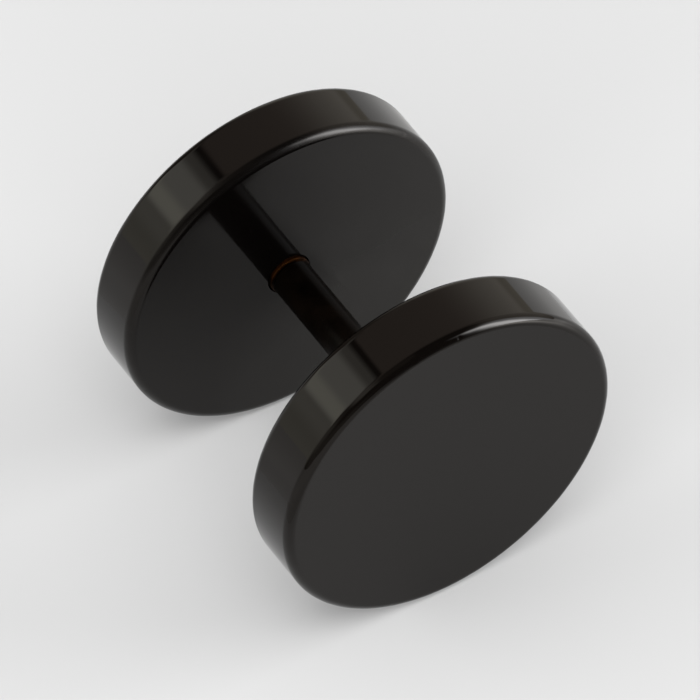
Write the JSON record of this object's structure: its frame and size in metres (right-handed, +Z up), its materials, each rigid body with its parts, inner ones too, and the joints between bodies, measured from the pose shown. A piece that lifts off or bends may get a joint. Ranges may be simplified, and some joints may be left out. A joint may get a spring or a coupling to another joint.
{
  "type": "ear plug gauge",
  "caption": "False ear plug of round polished discs on a thin straight bar. The end disc screws off, so that the bar can pass through an ear lobe.",
  "frame": {"origin": "on the surface that the plug lies on, below the plug's middle: the bottom centre of its bounding box", "axes": "+Z up, +Y along the bar from the front disc to the end disc, +X across the bar"},
  "size_m": [0.01, 0.0098, 0.01],
  "materials": {
    "black_acrylic": "polished, mirror-like, with fine nicks along the edges",
    "black_steel": "gloss black coating",
    "bronze": "turned bronze, slightly darkened"
  },
  "bodies": {
    "front": {"front_disc": "black_acrylic", "bar": "black_steel"},
    "end": {"end_disc": "black_acrylic", "screw_sleeve": "bronze"}
  },
  "joints": [
    {"name": "unscrew", "type": "slide", "parent": "front", "child": "end", "axis": [0, 1, 0], "range_m": [0, 0.0013]}
  ]
}
